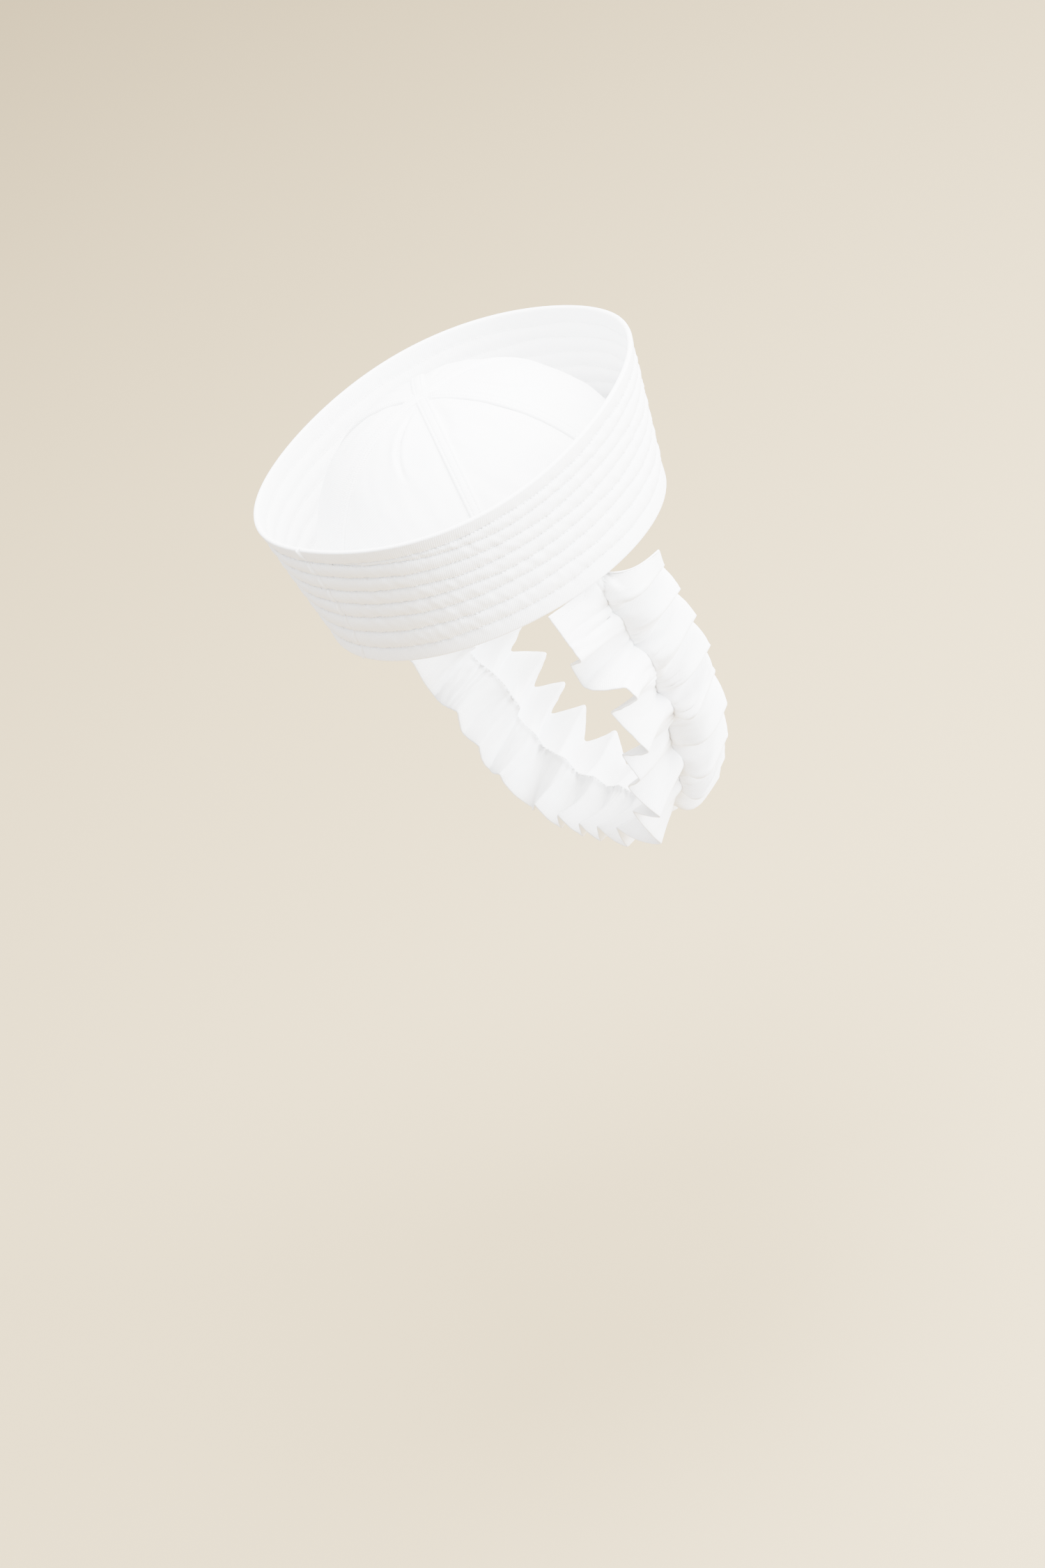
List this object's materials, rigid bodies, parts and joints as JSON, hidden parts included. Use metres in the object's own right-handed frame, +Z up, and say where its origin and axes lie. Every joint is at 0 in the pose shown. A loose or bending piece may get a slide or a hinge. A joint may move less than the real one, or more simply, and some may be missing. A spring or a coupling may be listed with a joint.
{
  "type": "sailor cap",
  "caption": "White cotton twill sailor cap with a six-gore crown, a turned-up stitched brim and a ruffled chin strap.",
  "frame": {"origin": "middle of the cap's lower edge, where the head goes in", "axes": "+Z up through the crown, -Y the way the wearer faces, -X the wearer's right side"},
  "size_m": [0.215, 0.2279, 0.2958],
  "materials": {
    "cotton_twill": "matte"
  },
  "bodies": {
    "root": {"brim": "cotton_twill", "chin_strap": "cotton_twill", "crown_gore_1": "cotton_twill", "crown_gore_2": "cotton_twill", "crown_gore_3": "cotton_twill", "crown_gore_4": "cotton_twill", "crown_gore_5": "cotton_twill", "crown_gore_6": "cotton_twill"}
  },
  "joints": []
}
